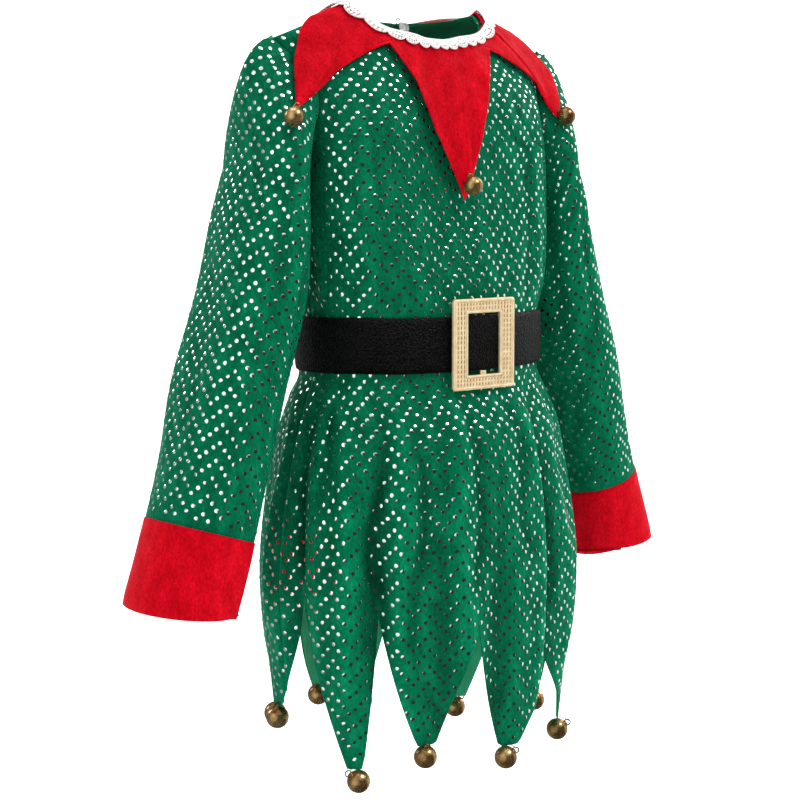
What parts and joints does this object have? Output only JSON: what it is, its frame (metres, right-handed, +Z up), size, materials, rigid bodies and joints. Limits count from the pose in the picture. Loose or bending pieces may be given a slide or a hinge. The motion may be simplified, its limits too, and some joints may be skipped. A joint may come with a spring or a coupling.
{
  "type": "child's green elf dress costume with red pointed collar and belt, filled out as worn",
  "caption": "Child's elf dress costume in green sequined velvet, hollow as worn, with a red pointed belled collar, red cuffs, a belt with a gold buckle and a petal hem hung with bells.",
  "frame": {"origin": "middle of the shoulder line at the height of the sides of the neck, where the wearer's shoulders hold the dress", "axes": "+Z up, -Y the way the wearer faces, +X the wearer's left"},
  "size_m": [0.5198, 0.2031, 0.597],
  "materials": {
    "green_velvet": "short green velvet with small round silver sequins in slanting rows on the outside",
    "red_velvet": "red velvet with a soft nap",
    "white_lace": "white cotton lace with a scalloped edge and small eyelets",
    "belt_leather": "black grained imitation leather, half gloss",
    "gold_plate": "pale gold plated metal with rows of small pressed slots",
    "antique_brass": "dark antique brass, polished and a little toned"
  },
  "bodies": {
    "root": {"front_panel": "green_velvet", "back_panel_left": "green_velvet", "back_panel_right": "green_velvet", "sleeve_left": "green_velvet", "sleeve_right": "green_velvet", "cuff_left": "red_velvet", "cuff_right": "red_velvet", "collar": "red_velvet", "neck_lace": "white_lace", "belt": "belt_leather", "buckle": "gold_plate", "hem_bell_1": "antique_brass", "hem_bell_2": "antique_brass", "hem_bell_3": "antique_brass", "hem_bell_4": "antique_brass", "hem_bell_5": "antique_brass", "hem_bell_6": "antique_brass", "hem_bell_7": "antique_brass", "hem_bell_8": "antique_brass", "hem_bell_9": "antique_brass", "hem_bell_10": "antique_brass", "collar_bell_front": "antique_brass", "collar_bell_left": "antique_brass", "collar_bell_right": "antique_brass", "collar_bell_back_left": "antique_brass", "collar_bell_back_right": "antique_brass"}
  },
  "joints": []
}
